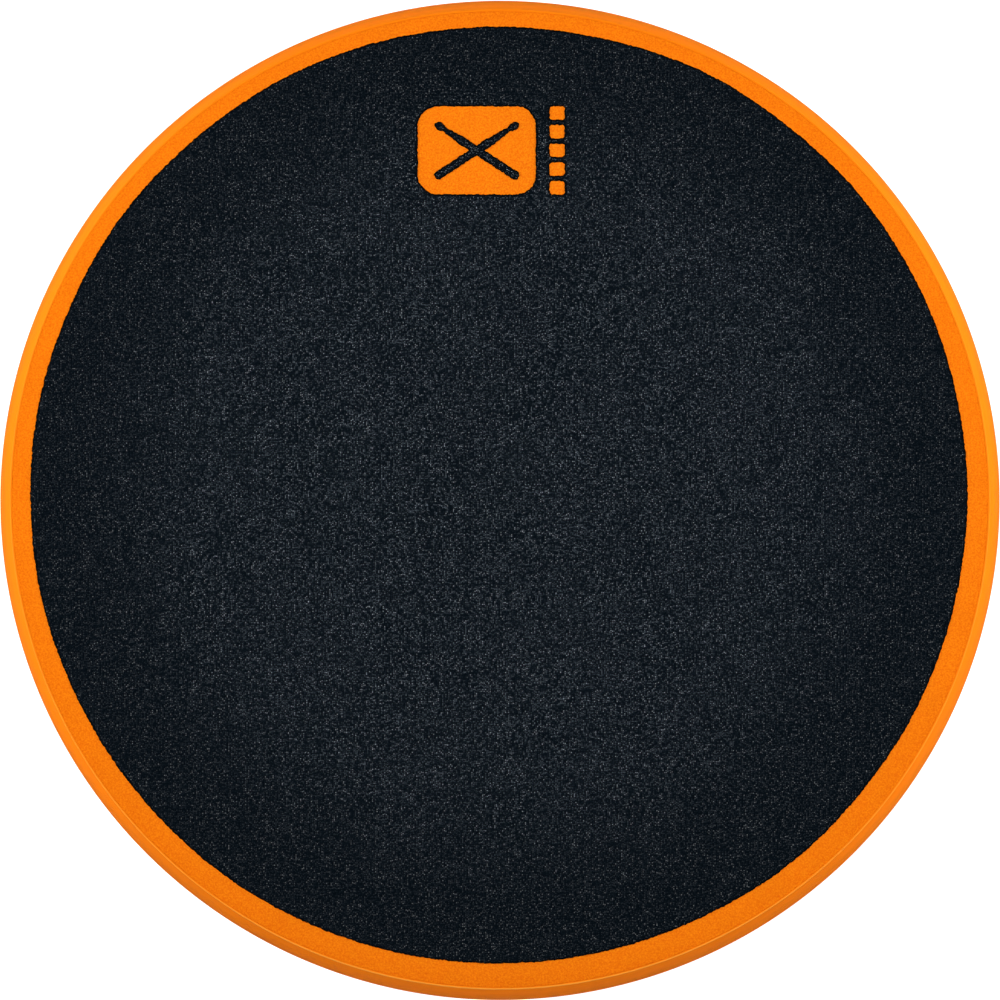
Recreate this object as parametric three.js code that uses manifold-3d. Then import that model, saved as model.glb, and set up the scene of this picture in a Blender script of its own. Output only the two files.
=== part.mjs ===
// A 12 inch drum practice pad: a laminated disc that lies flat on a table or in a snare stand.
//
// From the top down it is a printed black grip coating, a grained rubber sheet, soft foam, a
// rigid board and a rubber mat. A soft moulded rim goes round them, with a rebate at its top for
// the sheet and one at its bottom for the mat. Adhesive films join the layers.
//
// Millimetres, +Z up. The origin is the centre of the underside, and +Y points away from the
// player, towards the badge.
import * as THREE from "three";
import { mergeVertices } from "three/addons/utils/BufferGeometryUtils.js";
import Module from "manifold-3d";

const wasm = await Module();
wasm.setup();

// Driving dimensions of the pad.
const PAD_DIAMETER = 304.8; // 12 inches
const PAD_HEIGHT = 28;
const EDGE_STEPS = 88; // straight steps round each disc, a multiple of 4

// The layers, from the top down. Each film lies in the joint between two layers.
const COATING_THICKNESS = 0.4;
const SHEET_THICKNESS = 2.4;
const BOARD_THICKNESS = 9;
const MAT_THICKNESS = 3.2;
const JOINT_GAP = 0.3;
const FILM_THICKNESS = 0.2;

// The rim: a narrow lip round the sheet, and a side wall that flares from the lip to the foot.
const FLARE = 4.85; // how much wider the foot is than the lip, at the radius
const LIP_WIDTH = 0.6;
const LEDGE_WIDTH = 3; // how far the sheet and the mat lie over the rim
const FOOT_HEIGHT = 1; // the mat carries the pad, and the rim stays this far above the floor
const FOOT_CHAMFER = 1;
const EDGE_CLEARANCE = 0.3; // between a disc's edge and the rim round it

// The coating is laid by hand, a little off the middle of the sheet.
const COATING_DIAMETER = 282.2;
const COATING_SHIFT = { x: -0.3, y: 1.35 };

// The badge is a window in the coating with two crossed drumsticks left standing in it. Beside
// it is a column of bar windows, a gauge of how soft the pad plays.
const BADGE = { x: -7, y: 105, width: 35.5, height: 26.5, cornerRadius: 6 };
const GAUGE = { x: 17.2, barCount: 5, barWidth: 4.5, barHeight: 4, cornerRadius: 0.8 };
const CORNER_STEPS = 4;
const STICK = { length: 30, width: 2.6, neckWidth: 1.5, neckLength: 8, tipLength: 3.6, tipWidth: 2.4 };
const STICK_ANGLE = THREE.MathUtils.degToRad(33);
const STICK_STEPS = 6;

// The board's edges are eased, and the mat's underside has ring grooves between its lands.
const BOARD_CHAMFER = 0.8;
const TREAD_GROOVES = 3;
const TREAD_WIDTH = 4;
const TREAD_DEPTH = 0.8;

// Radii and heights that follow from the dimensions above.
const rimRadius = PAD_DIAMETER / 2;
const lipRadius = rimRadius - FLARE;
const rebateRadius = lipRadius - LIP_WIDTH;
const wallRadius = rebateRadius - LEDGE_WIDTH;
const sheetRadius = rebateRadius - EDGE_CLEARANCE;
const coreRadius = wallRadius - EDGE_CLEARANCE;
const sheetTop = PAD_HEIGHT - COATING_THICKNESS;
const sheetBottom = sheetTop - SHEET_THICKNESS;
const foamTop = sheetBottom - JOINT_GAP;
const boardBottom = MAT_THICKNESS + JOINT_GAP;
const boardTop = boardBottom + BOARD_THICKNESS;
const foamBottom = boardTop + JOINT_GAP;

const finishes = {
  blackCoating: { color: 0x1d2329, roughness: 0.8, metalness: 0 },
  orangeRubber: { color: 0xfa7f0f, roughness: 0.6, metalness: 0 },
  greyFoam: { color: 0x55585c, roughness: 0.95, metalness: 0 },
  fibreboard: { color: 0xa9855c, roughness: 0.85, metalness: 0 },
  adhesive: { color: 0xe4dcc4, roughness: 0.4, metalness: 0 },
  blackRubber: { color: 0x202022, roughness: 0.85, metalness: 0 },
};

// A named sub-part.
function piece(name, geometry, finish) {
  const mesh = new THREE.Mesh(geometry, new THREE.MeshStandardMaterial(finish));
  mesh.name = name;
  return mesh;
}

// A solid of revolution about +Z, from an outline of [radius, height] points that runs clockwise.
function turned(outline) {
  const points = outline.map(([radius, height]) => new THREE.Vector2(radius, height));
  return new THREE.LatheGeometry(points, EDGE_STEPS).rotateX(Math.PI / 2);
}

function plainDisc(radius, bottom, top) {
  return turned([
    [0, bottom],
    [radius, bottom],
    [radius, top],
    [0, top],
  ]);
}

// A film lies in the middle of the joint above the layer that ends at layerTop.
function film(radius, layerTop) {
  const bottom = layerTop + (JOINT_GAP - FILM_THICKNESS) / 2;
  return plainDisc(radius, bottom, bottom + FILM_THICKNESS);
}

// A flat shape given the coating's thickness and height.
function printed(shape, arcSteps) {
  const settings = { depth: COATING_THICKNESS, bevelEnabled: false, curveSegments: arcSteps };
  return new THREE.ExtrudeGeometry(shape, settings).translate(0, 0, sheetTop);
}

function roundedRectangle({ x, y, width, height, cornerRadius }) {
  const corners = [
    [1, 1],
    [-1, 1],
    [-1, -1],
    [1, -1],
  ];
  const points = corners.flatMap(([sideX, sideY], quarter) => {
    const centreX = x + sideX * (width / 2 - cornerRadius);
    const centreY = y + sideY * (height / 2 - cornerRadius);
    const start = (quarter * Math.PI) / 2;
    const arc = new THREE.EllipseCurve(
      centreX, centreY, cornerRadius, cornerRadius, start, start + Math.PI / 2);
    return arc.getPoints(CORNER_STEPS);
  });
  return new THREE.Path(points);
}

// The gauge's bars stand in a column as high as the badge.
function gaugeBars() {
  const { x, barCount, barWidth, barHeight, cornerRadius } = GAUGE;
  const pitch = (BADGE.height - barHeight) / (barCount - 1);
  return Array.from({ length: barCount }, (_, i) => {
    const y = BADGE.y + (i - (barCount - 1) / 2) * pitch;
    return roundedRectangle({ x, y, width: barWidth, height: barHeight, cornerRadius });
  });
}

// The black coating: a disc with a window for the badge and one for each bar of the gauge.
function playingSurface() {
  const disc = new THREE.Shape();
  disc.absarc(COATING_SHIFT.x, COATING_SHIFT.y, COATING_DIAMETER / 2, 0, 2 * Math.PI);
  disc.holes.push(roundedRectangle(BADGE), ...gaugeBars());
  return printed(disc, EDGE_STEPS / 2);
}

// One drumstick along X, with a round butt, a straight shaft, a taper and an oval tip.
function stickShape() {
  const { length, width, neckWidth, neckLength, tipLength, tipWidth } = STICK;
  const butt = -length / 2 + width / 2;
  const tip = length / 2 - tipLength / 2;
  const taperStart = tip - neckLength;
  const neckAngle = Math.asin(neckWidth / tipWidth);
  const shape = new THREE.Shape();
  shape.absarc(butt, 0, width / 2, Math.PI / 2, (3 * Math.PI) / 2);
  shape.lineTo(taperStart, -width / 2);
  shape.absellipse(
    tip, 0, tipLength / 2, tipWidth / 2, neckAngle - Math.PI, Math.PI - neckAngle);
  shape.lineTo(taperStart, width / 2);
  return shape;
}

// A closed geometry as a solid that can be joined to another.
function solidOf(geometry) {
  const bare = geometry.clone();
  bare.deleteAttribute("normal");
  bare.deleteAttribute("uv");
  const merged = mergeVertices(bare);
  return new wasm.Manifold(
    new wasm.Mesh({
      numProp: 3,
      vertProperties: merged.getAttribute("position").array,
      triVerts: new Uint32Array(merged.index.array),
    }),
  );
}

function geometryOf(solid) {
  const { vertProperties, triVerts } = solid.getMesh();
  return new THREE.BufferGeometry()
    .setAttribute("position", new THREE.BufferAttribute(vertProperties, 3))
    .setIndex(new THREE.BufferAttribute(triVerts, 1));
}

// The two drumsticks of the badge, printed as one piece of the coating inside its window.
function badgeSticks() {
  const sticks = [STICK_ANGLE, Math.PI - STICK_ANGLE].map((angle) =>
    solidOf(printed(stickShape(), STICK_STEPS).rotateZ(angle)),
  );
  return geometryOf(sticks[0].add(sticks[1])).translate(BADGE.x, BADGE.y, 0);
}

// The rim's section: bottom rebate, foot, side wall, lip, top rebate and inner wall.
function rim() {
  return turned([
    [wallRadius, boardBottom],
    [rebateRadius, boardBottom],
    [rebateRadius, FOOT_HEIGHT],
    [rimRadius - FOOT_CHAMFER, FOOT_HEIGHT],
    [rimRadius, FOOT_HEIGHT + FOOT_CHAMFER],
    [lipRadius, sheetTop],
    [rebateRadius, sheetTop],
    [rebateRadius, foamTop],
    [wallRadius, foamTop],
    [wallRadius, boardBottom],
  ]);
}

function baseBoard() {
  const easedRadius = coreRadius - BOARD_CHAMFER;
  return turned([
    [0, boardBottom],
    [easedRadius, boardBottom],
    [coreRadius, boardBottom + BOARD_CHAMFER],
    [coreRadius, boardTop - BOARD_CHAMFER],
    [easedRadius, boardTop],
    [0, boardTop],
  ]);
}

// The mat's underside: evenly spaced ring grooves, with a flat land in the middle.
function baseMat() {
  const pitch = sheetRadius / (TREAD_GROOVES + 1);
  const tread = Array.from({ length: TREAD_GROOVES }, (_, i) => {
    const inner = pitch * (i + 1) - TREAD_WIDTH / 2;
    const outer = inner + TREAD_WIDTH;
    return [
      [inner, 0],
      [inner, TREAD_DEPTH],
      [outer, TREAD_DEPTH],
      [outer, 0],
    ];
  });
  return turned([
    [0, 0],
    ...tread.flat(),
    [sheetRadius, 0],
    [sheetRadius, MAT_THICKNESS],
    [0, MAT_THICKNESS],
  ]);
}

const pad = new THREE.Group();
pad.add(
  piece("playing_surface", playingSurface(), finishes.blackCoating),
  piece("badge_sticks", badgeSticks(), finishes.blackCoating),
  piece("top_sheet", plainDisc(sheetRadius, sheetBottom, sheetTop), finishes.orangeRubber),
  piece("sheet_adhesive", film(sheetRadius, foamTop), finishes.adhesive),
  piece("rim", rim(), finishes.orangeRubber),
  piece("rebound_foam", plainDisc(coreRadius, foamBottom, foamTop), finishes.greyFoam),
  piece("foam_adhesive", film(coreRadius, boardTop), finishes.adhesive),
  piece("base_board", baseBoard(), finishes.fibreboard),
  piece("mat_adhesive", film(sheetRadius, MAT_THICKNESS), finishes.adhesive),
  piece("base_mat", baseMat(), finishes.blackRubber),
);

export default pad;
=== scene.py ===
"""A 12 inch drum practice pad in a plain studio, seen from straight above.

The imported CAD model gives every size. The playing surface, the badge, the top sheet, the foam,
the rim and the mat are made again here as fine meshes, inside the CAD's outlines, and the board
and the adhesive films keep their CAD shapes and get materials. Metres, +Z up.
"""

import math

import bmesh
import bpy
import numpy as np
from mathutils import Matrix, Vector, geometry, noise


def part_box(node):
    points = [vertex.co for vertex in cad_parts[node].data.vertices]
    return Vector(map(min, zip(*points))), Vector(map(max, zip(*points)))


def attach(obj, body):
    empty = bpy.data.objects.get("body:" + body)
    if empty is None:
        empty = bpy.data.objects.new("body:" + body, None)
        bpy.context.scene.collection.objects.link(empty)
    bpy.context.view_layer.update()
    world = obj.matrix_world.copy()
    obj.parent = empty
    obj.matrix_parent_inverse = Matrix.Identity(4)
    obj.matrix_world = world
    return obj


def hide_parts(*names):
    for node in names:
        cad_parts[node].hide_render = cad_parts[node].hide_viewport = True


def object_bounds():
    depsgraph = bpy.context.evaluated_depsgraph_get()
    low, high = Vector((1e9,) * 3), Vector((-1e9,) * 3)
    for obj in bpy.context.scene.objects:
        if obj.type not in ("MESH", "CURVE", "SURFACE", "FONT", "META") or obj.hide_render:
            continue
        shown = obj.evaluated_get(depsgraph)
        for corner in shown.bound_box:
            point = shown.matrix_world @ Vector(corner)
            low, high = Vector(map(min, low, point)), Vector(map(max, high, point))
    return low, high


MM = 0.001

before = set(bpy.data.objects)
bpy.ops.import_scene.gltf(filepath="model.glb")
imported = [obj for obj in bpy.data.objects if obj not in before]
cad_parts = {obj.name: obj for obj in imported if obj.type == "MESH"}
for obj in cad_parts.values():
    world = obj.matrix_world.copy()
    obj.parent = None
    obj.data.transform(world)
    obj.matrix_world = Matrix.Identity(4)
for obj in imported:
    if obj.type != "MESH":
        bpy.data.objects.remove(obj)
CAD_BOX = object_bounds()
PAD_RADIUS = CAD_BOX[1].x

# The camera stands above the pad, a little towards the player, and the pad fills its view.
CAMERA_HEIGHT = 2.0
CAMERA_OFFSET = -23 * MM
FOOT_EDGE_HEIGHT = 2 * MM  # the widest level of the rim
VIEW_MARGIN = 1.0004
NEAR_CLIP = 0.1
FAR_CLIP = 50

# The softboxes: two low ones at the sides, and a round one overhead for the glow in the middle.
SIDE_DISTANCE = 0.72
SIDE_ELEVATION = math.radians(20)
SIDE_AZIMUTH = math.radians(16)  # turned from +X and -X towards +Y
SIDE_SIZE = (0.5, 0.3)
SIDE_POWER = 3.36
TOP_DIAMETER = 0.29
TOP_HEIGHT = 0.7
TOP_OFFSET = 14 * MM  # towards +Y
TOP_POWER = 3.0

# The studio. The sky's levels are the Z of the direction in which it is seen.
WHITE_SKY_LEVEL = 0.02
DARK_SKY_LEVEL = 0.3
DARK_SKY = 0.05
FLOOR_RADIUS = 20
FLOOR_GREY = 0.3
FLOOR_GLOW = 1.05  # it lights itself, so that it is as white as the photograph's background

# The turned pieces.
RING_STEPS = 360
FILLET_STEPS = 5
NEARLY_STRAIGHT = math.radians(176)  # an outline's corner as open as this stays as it is
CREASE = math.radians(35)  # an edge that turns more than this is shaded sharp
LIP_FILLET = 0.25 * MM
FOOT_FILLET = 0.6 * MM
RIM_FILLET = 0.05 * MM  # at the rim's other edges
SHEET_FILLET = 0.12 * MM
MAT_FILLET = 0.35 * MM
RING_SPACING = 9 * MM  # between the rings of points on the sheet and the mat
FOAM_RING_SPACING = 12 * MM
FOAM_SIDE_STEPS = 8
FOAM_BULGE = 0.7 * MM
SHEET_GROWTH = 0.27 * MM  # how much wider the sheet is than its CAD disc, at the radius
LEVEL = 0.1 * MM  # points of an outline as close in height as this are on one level

# The printed pieces.
PRINT_STEP = 0.28 * MM  # spacing of the points along a printed edge
EDGE_WIDTH = 0.7 * MM  # how far in from its edge the print reaches its full thickness
EDGE_SHARE = 0.45  # the print's thickness at its edge, as a share of the full thickness
SHARP_TURN = math.radians(40)


# ---------------------------------------------------------------- camera, lights and floor

def add_camera():
    """Looks at the middle of the rim's widest level, which just fills the frame."""
    data = bpy.data.cameras.new("camera")
    camera = bpy.data.objects.new("camera", data)
    bpy.context.scene.collection.objects.link(camera)
    target = Vector((0, 0, FOOT_EDGE_HEIGHT))
    camera.location = target + Vector((0, CAMERA_OFFSET, CAMERA_HEIGHT))
    camera.rotation_euler = (target - camera.location).to_track_quat("-Z", "Y").to_euler()
    data.lens = data.sensor_width / 2 * CAMERA_HEIGHT / (PAD_RADIUS * VIEW_MARGIN)
    data.clip_start = NEAR_CLIP
    data.clip_end = FAR_CLIP
    bpy.context.scene.camera = camera


def add_softbox(name, location, shape, size, power, mirrored=True):
    """A light that faces the pad. The camera doesn't see it, and reflections only if mirrored."""
    data = bpy.data.lights.new(name, "AREA")
    data.shape = shape
    data.size, data.size_y = size
    data.energy = power
    light = bpy.data.objects.new(name, data)
    bpy.context.scene.collection.objects.link(light)
    light.location = location
    light.rotation_euler = (-Vector(location)).to_track_quat("-Z", "Y").to_euler()
    light.visible_camera = False
    light.visible_glossy = mirrored


def add_lights():
    out = SIDE_DISTANCE * math.cos(SIDE_ELEVATION)
    for name, side in (("left_softbox", -1), ("right_softbox", 1)):
        place = (
            side * out * math.cos(SIDE_AZIMUTH),
            out * math.sin(SIDE_AZIMUTH),
            SIDE_DISTANCE * math.sin(SIDE_ELEVATION),
        )
        add_softbox(name, place, "RECTANGLE", SIDE_SIZE, SIDE_POWER, mirrored=False)
    place = (0, TOP_OFFSET, TOP_HEIGHT)
    add_softbox("top_softbox", place, "DISK", (TOP_DIAMETER, TOP_DIAMETER), TOP_POWER)


def add_world():
    """A studio that is white at the horizon and darker overhead."""
    world = bpy.data.worlds.new("studio")
    bpy.context.scene.world = world
    world.use_nodes = True
    tree = world.node_tree
    background = tree.nodes["Background"]
    coords = tree.nodes.new("ShaderNodeTexCoord")
    parts = tree.nodes.new("ShaderNodeSeparateXYZ")
    ramp = tree.nodes.new("ShaderNodeValToRGB")
    white, dark = ramp.color_ramp.elements
    white.position = WHITE_SKY_LEVEL
    white.color = (1, 1, 1, 1)
    dark.position = DARK_SKY_LEVEL
    dark.color = (DARK_SKY, DARK_SKY, DARK_SKY, 1)
    tree.links.new(coords.outputs["Generated"], parts.inputs[0])
    tree.links.new(parts.outputs["Z"], ramp.inputs["Fac"])
    tree.links.new(ramp.outputs["Color"], background.inputs["Color"])


def add_floor():
    """A wide white floor at the pad's foot. From below it is clear, so the underside shows."""
    bm = bmesh.new()
    bmesh.ops.create_circle(bm, cap_ends=True, segments=64, radius=FLOOR_RADIUS)
    floor = mesh_object("floor", bm)
    material = bpy.data.materials.new("floor_white")
    material.use_nodes = True
    tree = material.node_tree
    shader = tree.nodes["Principled BSDF"]
    shader.inputs["Base Color"].default_value = (FLOOR_GREY, FLOOR_GREY, FLOOR_GREY, 1)
    shader.inputs["Roughness"].default_value = 1
    shader.inputs["Specular IOR Level"].default_value = 0
    shader.inputs["Emission Color"].default_value = (1, 1, 1, 1)
    shader.inputs["Emission Strength"].default_value = FLOOR_GLOW
    clear = tree.nodes.new("ShaderNodeBsdfTransparent")
    side = tree.nodes.new("ShaderNodeNewGeometry")
    mix = tree.nodes.new("ShaderNodeMixShader")
    tree.links.new(side.outputs["Backfacing"], mix.inputs[0])
    tree.links.new(shader.outputs[0], mix.inputs[1])
    tree.links.new(clear.outputs[0], mix.inputs[2])
    tree.links.new(mix.outputs[0], tree.nodes["Material Output"].inputs["Surface"])
    floor.data.materials.append(material)


# ---------------------------------------------------------------- meshes

def mesh_object(name, bm, smooth=False):
    """Turns a bmesh into an object with its faces pointing out."""
    bmesh.ops.recalc_face_normals(bm, faces=bm.faces)
    mesh = bpy.data.meshes.new(name)
    bm.to_mesh(mesh)
    bm.free()
    if smooth:
        mesh.shade_smooth()
    thing = bpy.data.objects.new(name, mesh)
    bpy.context.scene.collection.objects.link(thing)
    return thing


def cad_faces(node):
    """A CAD node's faces, as lists of their corners' positions in whole micrometres."""
    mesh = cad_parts[node].data
    keys = [tuple(round(c * 1e6) for c in v.co) for v in mesh.vertices]
    return [[keys[i] for i in face.vertices] for face in mesh.polygons]


def chains(edges):
    """Joins edges, pairs of keys, into lists of keys. A closed loop doesn't repeat its first."""
    beside = {}
    for a, b in edges:
        beside.setdefault(a, []).append(b)
        beside.setdefault(b, []).append(a)
    found = []
    left = set(beside)
    while left:
        ends = [k for k in left if len(beside[k]) == 1]
        here = min(ends) if ends else min(left)
        chain = []
        while here is not None:
            chain.append(here)
            left.discard(here)
            here = next((k for k in beside[here] if k in left), None)
        found.append(chain)
    return found


def section(node):
    """A turned CAD node's outline as (radius, height) points, from its half-plane y = 0, x >= 0."""
    edges = set()
    for face in cad_faces(node):
        for a, b in zip(face, face[1:] + face[:1]):
            if a[1] == b[1] == 0 and min(a[0], b[0]) >= 0:
                edges.add(tuple(sorted((a, b))))
    chain = max(chains(edges), key=len)
    return [(x / 1e6, z / 1e6) for x, _, z in chain]


def top_loops(node):
    """The outlines of a flat CAD node's upper face, largest first, as lists of (x, y)."""
    faces = cad_faces(node)
    top = max(k[2] for face in faces for k in face)
    count = {}
    for face in faces:
        if all(k[2] == top for k in face):
            for a, b in zip(face, face[1:] + face[:1]):
                edge = tuple(sorted((a[:2], b[:2])))
                count[edge] = count.get(edge, 0) + 1
    loops = chains(edge for edge, n in count.items() if n == 1)
    loops = [[(x / 1e6, y / 1e6) for x, y in loop] for loop in loops]
    return sorted(loops, key=lambda loop: -abs(signed_area(loop)))


def signed_area(loop):
    return sum(a[0] * b[1] - b[0] * a[1] for a, b in zip(loop, loop[1:] + loop[:1])) / 2


def filleted(outline, radius_at, closed, share=0.48):
    """Rounds an outline's corners. radius_at(point) gives each corner's radius.

    A corner's arc takes at most the given share of each of its two sides.
    """
    made = []
    last = len(outline) - 1
    for i, point in enumerate(outline):
        if not closed and i in (0, last):
            made.append(point)
            continue
        here = Vector(point)
        before = Vector(outline[i - 1]) - here
        after = Vector(outline[(i + 1) % len(outline)]) - here
        half = before.angle(after) / 2
        if half > NEARLY_STRAIGHT / 2:
            made.append(point)
            continue
        longest = min(before.length * share, after.length * share)
        reach = min(radius_at(point) / math.tan(half), longest)
        radius = reach * math.tan(half)
        start = here + before.normalized() * reach
        end = here + after.normalized() * reach
        middle = (before.normalized() + after.normalized()).normalized()
        centre = here + middle * (radius / math.sin(half))
        first = math.atan2(*reversed(start - centre))
        sweep = math.remainder(math.atan2(*reversed(end - centre)) - first, 2 * math.pi)
        for step in range(FILLET_STEPS + 1):
            t = first + sweep * step / FILLET_STEPS
            made.append((centre.x + radius * math.cos(t), centre.y + radius * math.sin(t)))
    return made


def turned(name, outline, closed, steps=RING_STEPS):
    """A surface of revolution about +Z. An open outline starts and ends on the axis."""
    bm = bmesh.new()
    turns = [2 * math.pi * k / steps for k in range(steps)]
    rings = []
    for radius, height in outline:
        if radius < 1e-7:
            rings.append([bm.verts.new((0, 0, height))])
            continue
        points = [(radius * math.cos(t), radius * math.sin(t), height) for t in turns]
        rings.append([bm.verts.new(point) for point in points])
    pairs = list(zip(rings, rings[1:]))
    if closed:
        pairs.append((rings[-1], rings[0]))
    for lower, upper in pairs:
        for k in range(steps):
            j = (k + 1) % steps
            # On the axis a ring is a single point, and the face is a triangle.
            corners = [
                lower[k % len(lower)],
                lower[j % len(lower)],
                upper[j % len(upper)],
                upper[k % len(upper)],
            ]
            bm.faces.new(list(dict.fromkeys(corners)))
    thing = mesh_object(name, bm, smooth=True)
    thing.data.set_sharp_from_angle(angle=CREASE)
    return thing


def spread(outline, step):
    """Adds points to the long straight stretches of an outline, so that its faces stay short."""
    made = [outline[0]]
    for a, b in zip(outline, outline[1:]):
        count = max(1, round(math.dist(a, b) / step))
        for i in range(1, count + 1):
            made.append((a[0] + (b[0] - a[0]) * i / count, a[1] + (b[1] - a[1]) * i / count))
    return made


# ---------------------------------------------------------------- printed pieces

def resampled(loop, step):
    """A smooth closed curve through a loop's points, as evenly spaced points."""
    corners = [Vector(point) for point in loop]
    fine = []
    for i, (here, after) in enumerate(zip(corners, corners[1:] + corners[:1])):
        before, beyond = corners[i - 1], corners[(i + 2) % len(corners)]
        span = after - here
        leave = tangent(here - before, span, span) * span.length
        arrive = tangent(span, beyond - after, span) * span.length
        count = max(2, math.ceil(span.length / step))
        for k in range(count):
            t = k / count
            # A cubic Hermite curve from one point to the next.
            fine.append(
                here * (2 * t**3 - 3 * t**2 + 1)
                + leave * (t**3 - 2 * t**2 + t)
                + after * (3 * t**2 - 2 * t**3)
                + arrive * (t**3 - t**2)
            )
    return fine


def tangent(before, after, span):
    """The curve's direction at a corner between two sides. It leans to the longer side.

    A corner that turns inwards stays sharp, as where the sticks cross, and takes its own span's
    direction. The loop runs anticlockwise.
    """
    turn = math.atan2(before.cross(after), before.dot(after))
    if turn < -SHARP_TURN:
        return span.normalized()
    return (before * before.length + after * after.length).normalized()


def wave(point, size, layer):
    """Noise from -1 to 1 whose features are about size metres across. Layers are independent."""
    return noise.noise(Vector((point.x / size, point.y / size, layer)))


def ragged(points, outward, wander):
    """Moves an outline's points in and out, as a screen print's edge does."""
    made = []
    for i, p in enumerate(points):
        along = points[(i + 1) % len(points)] - points[i - 1]
        normal = Vector((along.y, -along.x)).normalized() * outward
        slow = wave(p, 45 * MM, 3.1) * wander
        middle = wave(p, 3 * MM, 7.7) * 0.12 * MM
        fine = wave(p, 0.7 * MM, 1.3) * 0.24 * MM
        made.append(p + normal * (slow + middle + fine))
    return made


def inside(points, loops):
    """Says of each point whether it is inside an odd number of the loops, which are arrays."""
    odd = np.zeros(len(points), bool)
    x, y = points[:, 0:1], points[:, 1:2]
    for a in loops:
        b = np.roll(a, -1, axis=0)
        spans = (a[:, 1] > y) != (b[:, 1] > y)
        rise = np.where(b[:, 1] == a[:, 1], 1, b[:, 1] - a[:, 1])
        crossing = a[:, 0] + (y - a[:, 1]) / rise * (b[:, 0] - a[:, 0])
        odd ^= (spans & (x < crossing)).sum(1) % 2 == 1
    return odd


def printed_loops(node, wander):
    """The ragged outlines of a CAD node of the coating, largest first and all anticlockwise."""
    loops = []
    for k, loop in enumerate(top_loops(node)):
        if signed_area(loop) < 0:
            loop = loop[::-1]
        outward, amount = (1, wander) if k == 0 else (-1, 0)
        loops.append(ragged(resampled(loop, PRINT_STEP), outward, amount))
    return loops


def shelf_points(loops):
    """Points along the line where the print reaches its full thickness."""
    shelf = []
    for k, loop in enumerate(loops):
        inward = -1 if k == 0 else 1
        for i in range(0, len(loop), 2):
            along = loop[(i + 2) % len(loop)] - loop[i - 2]
            normal = Vector((along.y, -along.x)).normalized()
            shelf.append(loop[i] + normal * inward * EDGE_WIDTH)
    return shelf


def clear_points(points, loops, gap):
    """The points that are inside the outlines and farther than the gap from every edge point."""
    xy = np.array([tuple(p) for p in points])
    edge = np.concatenate(loops)
    found = np.flatnonzero(inside(xy, loops))
    return [points[i] for i in found if np.abs(edge - xy[i]).sum(1).min() > gap]


def printed(name, node, wander, grid):
    """A CAD node of the coating as a thin solid with ragged edges that thin out."""
    low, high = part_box(node)
    loops = printed_loops(node, wander)
    arrays = [np.array([tuple(p) for p in loop]) for loop in loops]
    points = [p for loop in loops for p in loop]
    edges = []
    start = 0
    for loop in loops:
        n = len(loop)
        edges += [(start + i, start + (i + 1) % n) for i in range(n)]
        start += n
    span = np.arange(-PAD_RADIUS, PAD_RADIUS, grid)
    middle = [Vector((x + (j % 2) * grid / 2, y)) for j, y in enumerate(span) for x in span]
    points += clear_points(shelf_points(loops), arrays, EDGE_WIDTH * 0.75)
    points += clear_points(middle, arrays, grid * 0.3)
    verts, _, faces, _, _, _ = geometry.delaunay_2d_cdt(points, edges, [], 0, 1e-8)
    centres = [[sum(verts[i].x for i in f) / 3, sum(verts[i].y for i in f) / 3] for f in faces]
    faces = [f for f, ok in zip(faces, inside(np.array(centres), arrays)) if ok]
    return thin_solid(name, verts, faces, low.z, high.z)


def thin_solid(name, verts, faces, bottom, top):
    """Gives a flat triangulation its thickness. Its outline is lower than its middle.

    The attribute named edge is 1 on the outline and 0 elsewhere.
    """
    used = sorted({i for f in faces for i in f})
    count = {}
    for f in faces:
        for a, b in zip(f, f[1:] + f[:1]):
            key = (min(a, b), max(a, b))
            count[key] = count.get(key, 0) + 1
    outline = {i for key, n in count.items() if n == 1 for i in key}
    lip = bottom + (top - bottom) * EDGE_SHARE
    bm = bmesh.new()
    layer = bm.verts.layers.float.new("edge")
    upper, lower = {}, {}
    for i in used:
        x, y = verts[i].x, verts[i].y
        upper[i] = bm.verts.new((x, y, lip if i in outline else top))
        lower[i] = bm.verts.new((x, y, bottom))
        upper[i][layer] = lower[i][layer] = 1.0 if i in outline else 0.0
    for f in faces:
        bm.faces.new([upper[i] for i in f])
        bm.faces.new([lower[i] for i in reversed(f)])
    for f in faces:
        for a, b in zip(f, f[1:] + f[:1]):
            if count[(min(a, b), max(a, b))] == 1:
                bm.faces.new([upper[b], upper[a], lower[a], lower[b]])
    return mesh_object(name, bm)


# ---------------------------------------------------------------- materials

GRIT_SIZE = 0.46 * MM
GRIT_LEAN = 0.03
GRIT_RANDOMNESS = 0.65
BLUE_OF_INK = (0.0, 0.0011, 0.0026)
EDGE_INK = (0.0005, 0.0005, 0.0005)
# painted highlight: the pale colour of the rim's lip at the player's side
LIP_HIGHLIGHT = (1.0, 0.38, 0.05)
# painted shade: the dark colour in patches near the rim's foot
PAINTED_FOOT_SHADE = (0.40, 0.09, 0.010)


def feed(tree, socket, value):
    """Links a shader socket to another one, or gives it a number, a colour or a vector."""
    if isinstance(value, bpy.types.NodeSocket):
        tree.links.new(value, socket)
    else:
        socket.default_value = value


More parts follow.
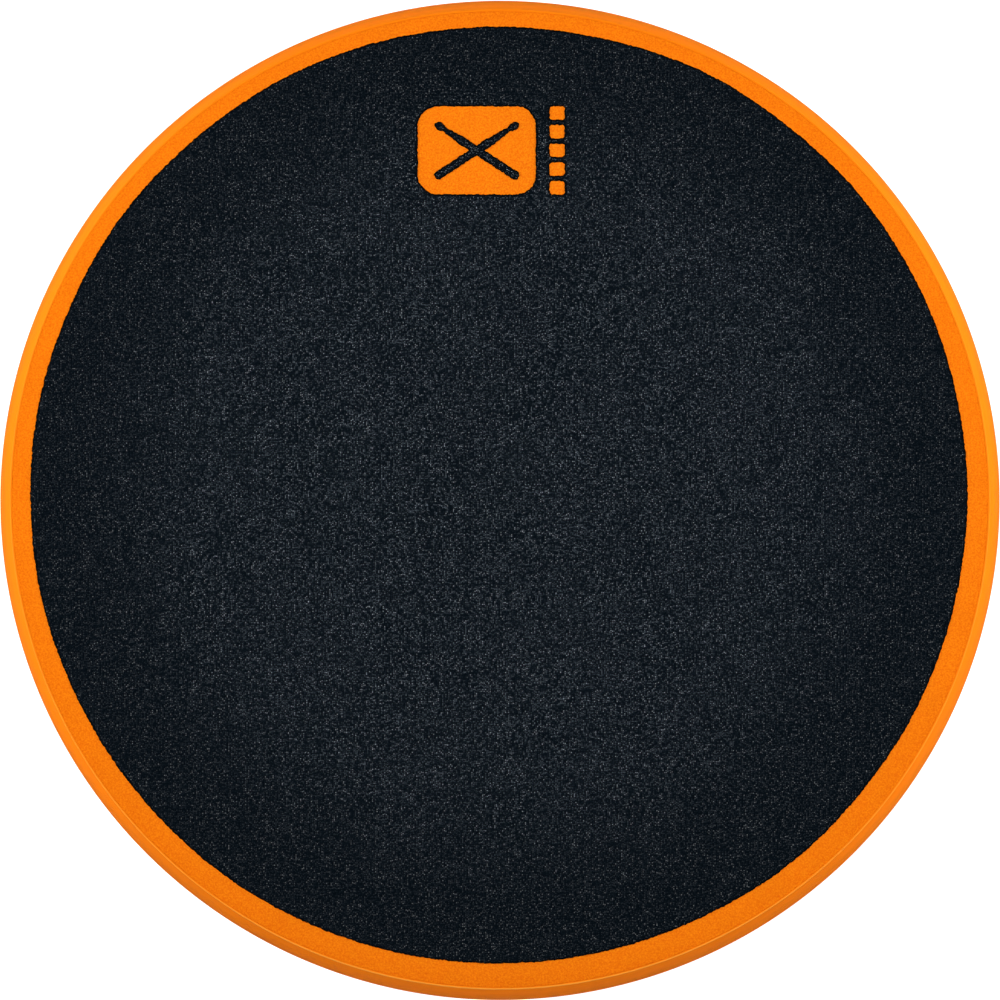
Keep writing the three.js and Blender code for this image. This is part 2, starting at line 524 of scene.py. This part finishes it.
class Nodes:
    """A material's node tree, with short ways to add the nodes that the materials use."""

    def __init__(self, name, roughness, specular):
        self.material = bpy.data.materials.new(name)
        self.material.use_nodes = True
        self.tree = self.material.node_tree
        self.shader = self.tree.nodes["Principled BSDF"]
        self.shader.inputs["Roughness"].default_value = roughness
        self.shader.inputs["Specular IOR Level"].default_value = specular
        self.coords = self.tree.nodes.new("ShaderNodeTexCoord").outputs["Object"]

    def add(self, kind, **inputs):
        """Adds a node. Its inputs are given by name, with _ for a space."""
        node = self.tree.nodes.new("ShaderNode" + kind)
        for key, value in inputs.items():
            feed(self.tree, node.inputs[key.replace("_", " ")], value)
        return node

    def noise(self, size, detail=2.0, roughness=0.5):
        """Fractal noise whose features are about size metres across."""
        node = self.add("TexNoise", Vector=self.coords, Scale=1 / size)
        node.inputs["Detail"].default_value = detail
        node.inputs["Roughness"].default_value = roughness
        return node.outputs["Fac"]

    def grains(self, size, flat=False):
        """Cells about size metres across, evenly spread in X and Y if flat.

        Gives each cell's random value, the distance to the cell's middle in cells, and a random
        vector whose X and Y don't depend on the value.
        """
        node = self.add("TexVoronoi", Vector=self.coords, Scale=1 / size)
        if flat:
            node.voronoi_dimensions = "2D"
            node.inputs["Randomness"].default_value = GRIT_RANDOMNESS
        parts = self.add("SeparateColor", Color=node.outputs["Color"])
        value, green, blue = (parts.outputs[key] for key in ("Red", "Green", "Blue"))
        vector = self.add("CombineXYZ", X=green, Y=blue, Z=value).outputs["Vector"]
        return value, node.outputs["Distance"], vector

    def facets(self, vector, lean):
        """Surface normals that lean as a random vector says, each way by up to half of lean."""
        centred = self.vector_math("SUBTRACT", vector, (0.5, 0.5, 0.5))
        leaning = self.vector_math("MULTIPLY", centred, (lean, lean, lean))
        flat = self.tree.nodes.new("ShaderNodeNewGeometry").outputs["Normal"]
        return self.vector_math("NORMALIZE", self.vector_math("ADD", flat, leaning))

    def axis(self, letter):
        return self.add("SeparateXYZ", Vector=self.coords).outputs[letter]

    def radius(self):
        flat = self.vector_math("MULTIPLY", self.coords, (1, 1, 0))
        node = self.add("VectorMath")
        node.operation = "LENGTH"
        feed(self.tree, node.inputs[0], flat)
        return node.outputs["Value"]

    def between(self, value, start, end):
        """Runs from 0 where a value is start to 1 where it is end, and is level beyond them."""
        return self.add("MapRange", Value=value, From_Min=start, From_Max=end).outputs[0]

    def ramp(self, value, *stops):
        """Maps a value to colours. A stop is a position and a colour of three numbers or one."""
        node = self.add("ValToRGB", Fac=value)
        elements = node.color_ramp.elements
        while len(elements) < len(stops):
            elements.new(1)
        for element, (position, colour) in zip(elements, stops):
            element.position = position
            rgb = colour if isinstance(colour, tuple) else (colour,) * 3
            element.color = (*rgb, 1)
        return node.outputs["Color"]

    def operate(self, kind, operation, values):
        node = self.add(kind)
        node.operation = operation
        for socket, value in zip(node.inputs, values):
            feed(self.tree, socket, value)
        return node.outputs[0]

    def math(self, operation, *values):
        return self.operate("Math", operation, values)

    def vector_math(self, operation, *values):
        return self.operate("VectorMath", operation, values)

    def mix(self, how, factor, a, b):
        """Mixes colours: how is a blend type, and a and b are sockets or three numbers each."""
        node = self.add("Mix")
        node.data_type = "RGBA"
        node.blend_type = how
        for key, value in (("Factor_Float", factor), ("A_Color", a), ("B_Color", b)):
            socket = next(s for s in node.inputs if s.identifier == key)
            feed(self.tree, socket, (*value, 1) if isinstance(value, tuple) else value)
        return next(s for s in node.outputs if s.identifier == "Result_Color")

    def multiply(self, colour, *shades):
        """A colour darkened or lightened by shades."""
        for shade in shades:
            colour = self.mix("MULTIPLY", 1.0, colour, shade)
        return colour

    def bump(self, height, depth, below=None):
        """Surface relief of the given depth in metres, over an earlier relief if there is one."""
        node = self.add("Bump", Height=height, Strength=1.0, Distance=depth)
        if below is not None:
            feed(self.tree, node.inputs["Normal"], below)
        return node.outputs["Normal"]

    def set(self, key, value):
        feed(self.tree, self.shader.inputs[key], value)


def grip_coating():
    """Black ink with grains of grit in it. Most are dull, and some have a glossy flat on top.

    The flats that catch the overhead softbox give the glow in the middle of the pad. The ink has
    no grit at the print's edge.
    """
    n = Nodes("grip_coating", roughness=0.9, specular=0.15)
    n.set("Specular Tint", (0.65, 0.83, 1.0, 1))
    tone, middle, lean = n.grains(GRIT_SIZE, flat=True)
    grain = n.ramp(
        tone,
        (0.0, (0.0013, 0.0027, 0.0042)),
        (0.40, (0.0113, 0.0154, 0.0204)),
        (0.75, (0.0409, 0.0484, 0.0562)),
        (0.93, (0.0880, 0.0955, 0.1038)),
        (1.0, (0.3000, 0.3128, 0.3249)),
    )
    domed = n.ramp(middle, (0.0, 1.0), (0.14, 0.7), (0.38, 0.006))
    clouds = n.ramp(n.noise(9 * MM, detail=3), (0.3, 0.96), (0.7, 1.04))
    colour = n.mix("ADD", 1.0, n.multiply(grain, domed, clouds), BLUE_OF_INK)
    edge = n.add("Attribute")
    edge.attribute_name = "edge"
    at_edge = n.math("MINIMUM", n.math("MULTIPLY", edge.outputs["Fac"], 1.5), 1.0)
    n.set("Base Color", n.mix("MIX", at_edge, colour, EDGE_INK))
    n.set("Normal", n.bump(n.noise(1.5 * MM), 0.003 * MM, n.facets(lean, GRIT_LEAN)))
    glossy = n.ramp(tone, (0.0, 1.0), (0.61, 1.0), (0.62, 0.12), (1.0, 0.08))
    around = n.ramp(middle, (0.0, 0.0), (0.22, 0.0), (0.26, 1.0))
    n.set("Roughness", n.math("MAXIMUM", n.math("MAXIMUM", glossy, around), at_edge))
    return n.material


def sheet_rubber(edge_radius):
    """Orange rubber with a fine moulded grain, deeper in tone towards the joint to the rim."""
    n = Nodes("orange_sheet_rubber", roughness=0.65, specular=0.02)
    grain = n.noise(0.55 * MM, detail=3, roughness=0.7)
    tone = n.ramp(grain, (0.35, (0.87, 0.148, 0.0021)), (0.65, (1.0, 0.266, 0.0054)))
    broad = n.ramp(n.noise(14 * MM, detail=3), (0.3, 0.95), (0.7, 1.0))
    near_joint = n.between(n.radius(), edge_radius - 9 * MM, edge_radius)
    deeper = n.ramp(near_joint, (0.0, (1.0, 1.0, 1.0)), (1.0, (0.98, 0.92, 0.88)))
    n.set("Base Color", n.multiply(tone, broad, deeper))
    n.set("Normal", n.bump(grain, 0.05 * MM))
    n.set("Roughness", n.ramp(n.noise(0.8 * MM), (0.3, 0.55), (0.7, 0.75)))
    return n.material


def rim_rubber(top, lip_radius):
    """Smooth orange rubber, with a painted highlight on the lip at the player's side and painted
    shade at the foot.
    """
    n = Nodes("orange_rim_rubber", roughness=0.6, specular=0.0008)
    flow = n.noise(6 * MM, detail=5)
    tone = n.ramp(flow, (0.3, (0.95, 0.209, 0.0040)), (0.7, (0.98, 0.224, 0.0048)))
    away = n.between(n.axis("Y"), -PAD_RADIUS, PAD_RADIUS)
    player_side = n.ramp(away, (0.0, 1.0), (0.12, 0.5), (0.5, 0.2), (1.0, 0.0))
    on_lip = n.math(
        "MULTIPLY",
        n.between(n.axis("Z"), top - 0.9 * MM, top - 0.1 * MM),
        n.between(n.radius(), lip_radius - 0.4 * MM, lip_radius - 0.2 * MM),
    )
    # The pale band on the lip, strongest at the player's side, is a painted highlight.
    lip_highlight = n.math("MULTIPLY", on_lip, player_side)
    colour = n.mix("MIX", lip_highlight, tone, LIP_HIGHLIGHT)
    # Patches of painted shade, darker towards the foot of the rim.
    shade_patches = n.ramp(n.noise(4 * MM, detail=4), (0.3, 0.25), (0.7, 0.6))
    shade_at_foot = n.math("MULTIPLY", n.between(n.axis("Z"), 18 * MM, 2 * MM), shade_patches)
    n.set("Base Color", n.mix("MIX", shade_at_foot, colour, PAINTED_FOOT_SHADE))
    relief = n.bump(n.noise(12 * MM, detail=2), 0.05 * MM)
    n.set("Normal", n.bump(n.noise(0.3 * MM, detail=2), 0.006 * MM, relief))
    n.set("Roughness", n.ramp(n.noise(3 * MM, detail=3), (0.3, 0.55), (0.7, 0.7)))
    return n.material


def foam():
    """Closed-cell foam: dark grey with small pores."""
    n = Nodes("rebound_foam", roughness=0.95, specular=0.2)
    tone, middle, _ = n.grains(0.7 * MM)
    n.set("Base Color", n.ramp(tone, (0.0, (0.06, 0.065, 0.07)), (1.0, (0.12, 0.13, 0.14))))
    n.set("Normal", n.bump(middle, 0.2 * MM))
    n.set("Roughness", n.ramp(n.noise(2 * MM), (0.3, 0.85), (0.7, 1.0)))
    return n.material


def fibreboard():
    """Medium-density fibreboard: brown with short pale fibres, darker where it is dusty."""
    n = Nodes("fibreboard", roughness=0.85, specular=0.2)
    fibres = n.noise(0.9 * MM, detail=6, roughness=0.7)
    tone = n.ramp(fibres, (0.35, (0.28, 0.155, 0.065)), (0.65, (0.50, 0.31, 0.15)))
    broad = n.ramp(n.noise(25 * MM, detail=3), (0.3, 0.88), (0.7, 1.05))
    n.set("Base Color", n.multiply(tone, broad))
    n.set("Normal", n.bump(fibres, 0.06 * MM))
    n.set("Roughness", n.ramp(fibres, (0.3, 0.95), (0.7, 0.75)))
    return n.material


def adhesive():
    """Dried contact adhesive: cream, glossy in streaks."""
    n = Nodes("adhesive_film", roughness=0.4, specular=0.5)
    streaks = n.noise(7 * MM, detail=5, roughness=0.6)
    n.set("Base Color", n.ramp(streaks, (0.3, (0.70, 0.62, 0.42)), (0.7, (0.83, 0.77, 0.60))))
    n.set("Normal", n.bump(streaks, 0.05 * MM))
    n.set("Roughness", n.ramp(streaks, (0.3, 0.28), (0.7, 0.6)))
    return n.material


def mat_rubber():
    """Black rubber with a fine pebbled skin, and a little dust in it."""
    n = Nodes("base_rubber", roughness=0.8, specular=0.35)
    tone, middle, _ = n.grains(1.1 * MM)
    patches = n.noise(30 * MM, detail=5)
    dust = n.ramp(patches, (0.45, (0.011, 0.011, 0.012)), (0.8, (0.030, 0.029, 0.028)))
    n.set("Base Color", n.multiply(dust, n.ramp(tone, (0.0, 0.75), (1.0, 1.2))))
    n.set("Normal", n.bump(middle, 0.15 * MM))
    n.set("Roughness", n.ramp(n.noise(8 * MM, detail=3), (0.3, 0.7), (0.7, 0.9)))
    return n.material


# ---------------------------------------------------------------- pieces

def finish_piece(piece, node, material):
    """A new piece stands for a CAD node, moves with the pad and takes its finish from a slot."""
    piece.data.materials.append(material)
    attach(piece, "root")
    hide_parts(node)


def add_coating():
    material = grip_coating()
    surface = printed("grip_surface", "playing_surface", wander=0.5 * MM, grid=6 * MM)
    finish_piece(surface, "playing_surface", material)
    sticks = printed("badge_drumsticks", "badge_sticks", wander=0.1 * MM, grid=1.2 * MM)
    finish_piece(sticks, "badge_sticks", material)


def add_top_sheet():
    """The sheet, which is pressed into the rim's rebate with only a hairline of a joint."""
    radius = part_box("top_sheet")[1].x
    grown = 1 + SHEET_GROWTH / radius
    outline = [(out * grown, height) for out, height in section("top_sheet")]
    outline = filleted(outline, lambda point: SHEET_FILLET, closed=False)
    sheet = turned("orange_top_sheet", spread(outline, RING_SPACING), closed=False)
    finish_piece(sheet, "top_sheet", sheet_rubber(radius))


def add_rim():
    """The moulded rim. Its lip is level with the sheet and rolls over into the flared side."""
    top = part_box("rim")[1].z
    outline = section("rim")
    lip_radius = max(radius for radius, height in outline if height > top - LEVEL)

    def radius_at(point):
        radius, height = point
        if height < FOOT_EDGE_HEIGHT + MM:
            return FOOT_FILLET
        return LIP_FILLET if height > top - LEVEL and radius == lip_radius else RIM_FILLET

    outline = filleted(outline, radius_at, closed=True, share=0.9)
    rim = turned("moulded_rim", outline, closed=True, steps=2 * RING_STEPS)
    finish_piece(rim, "rim", rim_rubber(top, lip_radius))


def add_foam():
    """The foam's side bulges a little between the sheet and the board that squeeze it."""
    low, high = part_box("rebound_foam")
    height = high.z - low.z
    side = []
    for i in range(FOAM_SIDE_STEPS + 1):
        t = i / FOAM_SIDE_STEPS
        drawn_in = (2 * t - 1) ** 2 * FOAM_BULGE
        side.append((high.x - drawn_in, low.z + height * t))
    outline = [(0, low.z), *side, (0, high.z)]
    piece = turned("foam_core", spread(outline, FOAM_RING_SPACING), closed=False)
    finish_piece(piece, "rebound_foam", foam())


def add_mat():
    """The rubber mat underneath, with the edges of its ring grooves rounded."""
    outline = filleted(section("base_mat"), lambda point: MAT_FILLET, closed=False)
    mat = turned("ribbed_mat", spread(outline, RING_SPACING), closed=False)
    finish_piece(mat, "base_mat", mat_rubber())


def dress(node, material):
    """Gives a CAD node its material. Its shape stays as it is."""
    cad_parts[node].material_slots[0].material = material


add_camera()
add_lights()
add_world()
add_floor()
add_coating()
add_top_sheet()
add_rim()
add_foam()
add_mat()
dress("base_board", fibreboard())
glue = adhesive()
for film in ("sheet_adhesive", "foam_adhesive", "mat_adhesive"):
    dress(film, glue)

bpy.context.scene.view_settings.view_transform = "Standard"
